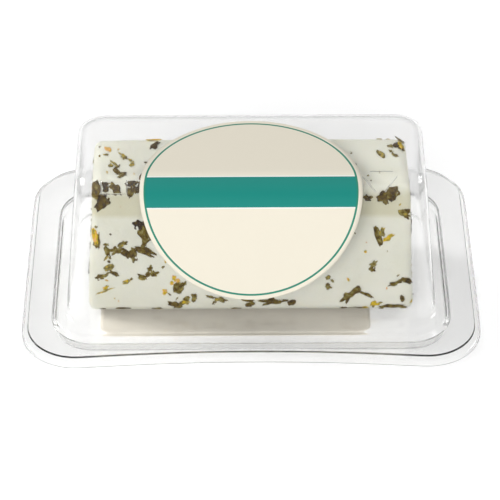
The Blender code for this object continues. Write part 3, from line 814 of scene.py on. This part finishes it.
def dome_loop(height, thickness):
    """The dome's outline at one height, this far inside its outer face."""
    half_width = DOME_WIDTH / 2 - wall_inset(height, SIDE_DRAFT, SIDE_FILLET, thickness)
    front = DOME_CENTRE_Y - DOME_DEPTH / 2 + wall_inset(height, FRONT_DRAFT, FRONT_FILLET, thickness)
    back = DOME_CENTRE_Y + DOME_DEPTH / 2 - wall_inset(height, BACK_DRAFT, BACK_FILLET, thickness)
    level = (height - TRAY_FLANGE_TOP) / (DOME_TOP - TRAY_FLANGE_TOP)
    corner = min(DOME_CORNER + (DOME_CORNER_AT_TOP - DOME_CORNER) * level,
                 CORNER_LIMIT * (back - front))
    return rounded_outline(half_width, front, back, corner, height)


lid_level = TRAY_FLANGE_TOP + GAP + half_sheet
step_level = lid_level + FOOT_STEP_HEIGHT
dome_lean = math.atan2(BACK_DRAFT, DOME_TOP - TRAY_FLANGE_TOP)
dome_angles = [dome_lean + (math.pi / 2 - dome_lean) * step / FILLET_STEPS
               for step in range(FILLET_STEPS + 1)]
dome_crown = DOME_TOP - half_sheet
dome_radius = BACK_FILLET - half_sheet
dome_levels = [dome_crown - dome_radius + dome_radius * math.sin(angle)
               for angle in reversed(dome_angles)]
dome_levels += [*WALL_LEVELS, step_level + 2.5 * MM, step_level + 0.8 * MM]
lid = drawn_sheet("clear_lid", [dome_loop(level, half_sheet) for level in dome_levels] + [
    well_loop(2.0 * MM, step_level + 0.15 * MM),
    well_loop(1.1 * MM, step_level),
    well_loop(0.6 * MM, step_level - 0.1 * MM),
    well_loop(0.3 * MM, step_level - 0.6 * MM),
    well_loop(0.15 * MM, lid_level + 0.6 * MM),
    well_loop(0.0, lid_level + 0.15 * MM),
    well_loop(-0.5 * MM, lid_level),
    well_loop(-1.2 * MM, lid_level),
    flange_loop(LID_RIM_INSET + 1.6 * MM, lid_level),
    flange_loop(LID_RIM_INSET + 0.9 * MM, lid_level),
    flange_loop(LID_RIM_INSET + 0.4 * MM, lid_level + 0.2 * MM),
    flange_loop(LID_RIM_INSET, lid_level + RIM_CURL),
], smoothing=2)
lid.data.materials.append(clear_plastic("clear lid sheet", LID_TINT, 0.0, LID_TOP_HAZE))
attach(lid, "root")
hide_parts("lid")


# Round label on the lid
# A cream paper disc wrapped over the dome's top front edge. A thin teal ring is printed just
# inside its edge, and a teal band with a pale hairline along both sides crosses it.
LABEL_RADIUS = 30.9 * MM
LABEL_UP_WALL = 43.4 * MM
LABEL_CREAM = (0.845, 0.79, 0.66)
LABEL_TEAL = (0.004, 0.245, 0.205)
LABEL_RING = (0.02, 0.24, 0.16)
LABEL_HAIRLINE = (0.90, 0.90, 0.86)
LABEL_FIBRE_SHADE = 0.985
LABEL_FIBRE = 0.1 * MM
RING_RADIUS = 29.5 * MM
RING_WIDTH = 0.55 * MM
BAND_TOP = 4.6 * MM
BAND_BOTTOM = -4.35 * MM
HAIRLINE = 0.35 * MM
LABEL_ROWS = 120
LABEL_COLUMNS = 40
PROFILE_STEPS = 24


def dome_profile(clearance):
    """The dome's middle section from its front foot over the top to its back foot."""
    halves = []
    for side, draft, fillet in ((-1, FRONT_DRAFT, FRONT_FILLET), (1, BACK_DRAFT, BACK_FILLET)):
        lean = math.atan2(draft, DOME_TOP - TRAY_FLANGE_TOP)
        foot = DOME_CENTRE_Y + side * DOME_DEPTH / 2
        centre_y = foot - side * (draft + fillet * math.tan((math.pi / 2 - lean) / 2))
        radius = fillet + clearance
        points = [Vector((0.0, foot + side * clearance * math.cos(lean),
                          TRAY_FLANGE_TOP + clearance * math.sin(lean)))]
        for step in range(PROFILE_STEPS + 1):
            angle = lean + (math.pi / 2 - lean) * step / PROFILE_STEPS
            points.append(Vector((0.0, centre_y + side * radius * math.cos(angle),
                                  DOME_TOP - fillet + radius * math.sin(angle))))
        halves.append(points)
    return halves[0] + halves[1][::-1]


def along_profile(points, distance):
    """The point that lies this far along the profile."""
    for start, end in zip(points, points[1:]):
        length = (end - start).length
        if distance <= length:
            return start.lerp(end, distance / length)
        distance -= length
    return points[-1]


label_mesh = bmesh.new()
label_uv = label_mesh.loops.layers.uv.new("flat label")
flat_place = {}
label_rings = []
for clearance in (GAP, GAP + PAPER):
    profile = dome_profile(clearance)
    sheet_rows = []
    for row in range(LABEL_ROWS + 1):
        turn = math.pi * (row + 0.25) / (LABEL_ROWS + 0.5)
        up = -LABEL_RADIUS * math.cos(turn)
        half = LABEL_RADIUS * math.sin(turn)
        point = along_profile(profile, LABEL_UP_WALL + up)
        cells = []
        for column in range(LABEL_COLUMNS + 1):
            across = half * (2 * column / LABEL_COLUMNS - 1)
            vertex = label_mesh.verts.new((across, point.y, point.z))
            flat_place[vertex] = (across, up)
            cells.append(vertex)
        sheet_rows.append(cells)
    for lower, upper in zip(sheet_rows, sheet_rows[1:]):
        for column in range(LABEL_COLUMNS):
            label_mesh.faces.new((lower[column], lower[column + 1], upper[column + 1], upper[column]))
    rim = sheet_rows[0] + [cells[-1] for cells in sheet_rows[1:-1]]
    rim += sheet_rows[-1][::-1] + [cells[0] for cells in sheet_rows[-2:0:-1]]
    label_rings.append(rim)
for index in range(len(label_rings[0])):
    after = (index + 1) % len(label_rings[0])
    label_mesh.faces.new((label_rings[0][index], label_rings[0][after],
                          label_rings[1][after], label_rings[1][index]))
bmesh.ops.recalc_face_normals(label_mesh, faces=label_mesh.faces)
for face in label_mesh.faces:
    for loop in face.loops:
        across, up = flat_place[loop.vert]
        loop[label_uv].uv = (across / (2 * LABEL_RADIUS) + 0.5, up / (2 * LABEL_RADIUS) + 0.5)
label = object_from_bmesh("round_label", label_mesh)

label_paint, label_tree, label_shader = make_surface("printed cream paper")
label_nodes, label_links = label_tree.nodes, label_tree.links


def label_math(operation, first, second=None):
    """One Math node on the label's paint. Numbers are set on it, sockets are linked."""
    node = label_nodes.new("ShaderNodeMath")
    node.operation = operation
    for socket, value in zip(node.inputs, (first, second)):
        if isinstance(value, (int, float)):
            socket.default_value = value
        elif value is not None:
            label_links.new(value, socket)
    return node.outputs[0]


def label_colour(amount, under, over):
    """Prints one colour over another by an amount from 0 to 1."""
    node = label_nodes.new("ShaderNodeMix")
    node.data_type = "RGBA"
    label_links.new(amount, node.inputs["Factor"])
    for socket, value in ((node.inputs["A"], under), (node.inputs["B"], over)):
        if isinstance(value, tuple):
            socket.default_value = (*value, 1)
        else:
            label_links.new(value, socket)
    return node.outputs["Result"]


label_map = label_nodes.new("ShaderNodeUVMap")
label_map.uv_map = "flat label"
label_split = label_nodes.new("ShaderNodeSeparateXYZ")
label_links.new(label_map.outputs["UV"], label_split.inputs[0])
across_label = label_math("MULTIPLY_ADD", label_split.outputs["X"], 2 * LABEL_RADIUS)
across_label.node.inputs[2].default_value = -LABEL_RADIUS
up_label = label_math("MULTIPLY_ADD", label_split.outputs["Y"], 2 * LABEL_RADIUS)
up_label.node.inputs[2].default_value = -LABEL_RADIUS
from_centre = label_math("SQRT", label_math("ADD", label_math("MULTIPLY", across_label, across_label),
                                            label_math("MULTIPLY", up_label, up_label)))
on_ring = label_math("LESS_THAN", label_math("ABSOLUTE", label_math("SUBTRACT", from_centre, RING_RADIUS)),
                     RING_WIDTH / 2)
inside_ring = label_math("LESS_THAN", from_centre, RING_RADIUS)
band_middle = (BAND_TOP + BAND_BOTTOM) / 2
from_band = label_math("ABSOLUTE", label_math("SUBTRACT", up_label, band_middle))
on_band = label_math("MULTIPLY", inside_ring,
                     label_math("LESS_THAN", from_band, (BAND_TOP - BAND_BOTTOM) / 2))
on_hairline = label_math("MULTIPLY", inside_ring,
                         label_math("LESS_THAN", from_band, (BAND_TOP - BAND_BOTTOM) / 2 + HAIRLINE))
fibre_place = label_nodes.new("ShaderNodeTexCoord")
fibre = add_grain(label_tree, fibre_place, scale=700.0, detail=4.0)
paper = label_colour(fibre, tuple(c * LABEL_FIBRE_SHADE for c in LABEL_CREAM), LABEL_CREAM)
paper = label_colour(on_hairline, paper, LABEL_HAIRLINE)
paper = label_colour(on_band, paper, LABEL_TEAL)
paper = label_colour(on_ring, paper, LABEL_RING)
label_links.new(paper, label_shader.inputs["Base Color"])
label_shader.inputs["Roughness"].default_value = 0.42
add_bump(label_tree, label_shader, fibre, strength=0.08, depth=LABEL_FIBRE)
label.data.materials.append(label_paint)
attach(label, "root")
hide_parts("front_label")


# Moulded lines on the lid
# Fine raised lines of the lid's own sheet on its front shoulders: an open-topped frame on the
# left, and on the right a short bar over two slanting lines. They stand out only as glints.
# Each line's corners in millimetres: across from the middle, and up the dome from its front foot
MOULDED_LINES = (
    ((-41.6, 47.1), (-41.5, 42.9), (-34.4, 43.1), (-34.4, 47.1)),
    ((33.2, 50.4), (39.5, 50.4)),
    ((31.0, 48.1), (34.5, 43.2)),
    ((40.4, 48.0), (37.1, 43.2)),
)
MOULDED_RADIUS = 0.2 * MM
MOULDED_SINK = 0.05 * MM
MOULDED_STEP = 0.5 * MM

lid_skin = BVHTree.FromPolygons([v.co for v in lid.data.vertices], [p.vertices[:] for p in lid.data.polygons])
outer_profile = dome_profile(GAP)
lines_curve = bpy.data.curves.new("moulded lines", "CURVE")
lines_curve.dimensions = "3D"
lines_curve.bevel_depth = MOULDED_RADIUS
lines_curve.bevel_resolution = 2
lines_curve.use_fill_caps = True
for corners in MOULDED_LINES:
    places = []
    for start, end in zip(corners, corners[1:]):
        start, end = Vector(start) * MM, Vector(end) * MM
        count = math.ceil((end - start).length / MOULDED_STEP)
        places += [start.lerp(end, step / count) for step in range(count)]
    places.append(end)
    line = lines_curve.splines.new("POLY")
    line.points.add(len(places) - 1)
    for point, place in zip(line.points, places):
        above = along_profile(outer_profile, place.y)
        spot, normal, _, _ = lid_skin.find_nearest(Vector((place.x, above.y, above.z)))
        point.co = (*(spot - normal * MOULDED_SINK), 1)
lines_object = bpy.data.objects.new("moulded lines", lines_curve)
bpy.context.scene.collection.objects.link(lines_object)
lines_shape = lines_object.evaluated_get(bpy.context.evaluated_depsgraph_get())
lines_mesh = bpy.data.meshes.new_from_object(lines_shape)
bpy.data.objects.remove(lines_object, do_unlink=True)
lines_mesh.shade_smooth()
lines_mesh.materials.clear()
lines_mesh.materials.append(lid.data.materials[0])
moulded_lines = bpy.data.objects.new("moulded_lines", lines_mesh)
bpy.context.scene.collection.objects.link(moulded_lines)
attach(moulded_lines, "root")
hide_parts("lid")
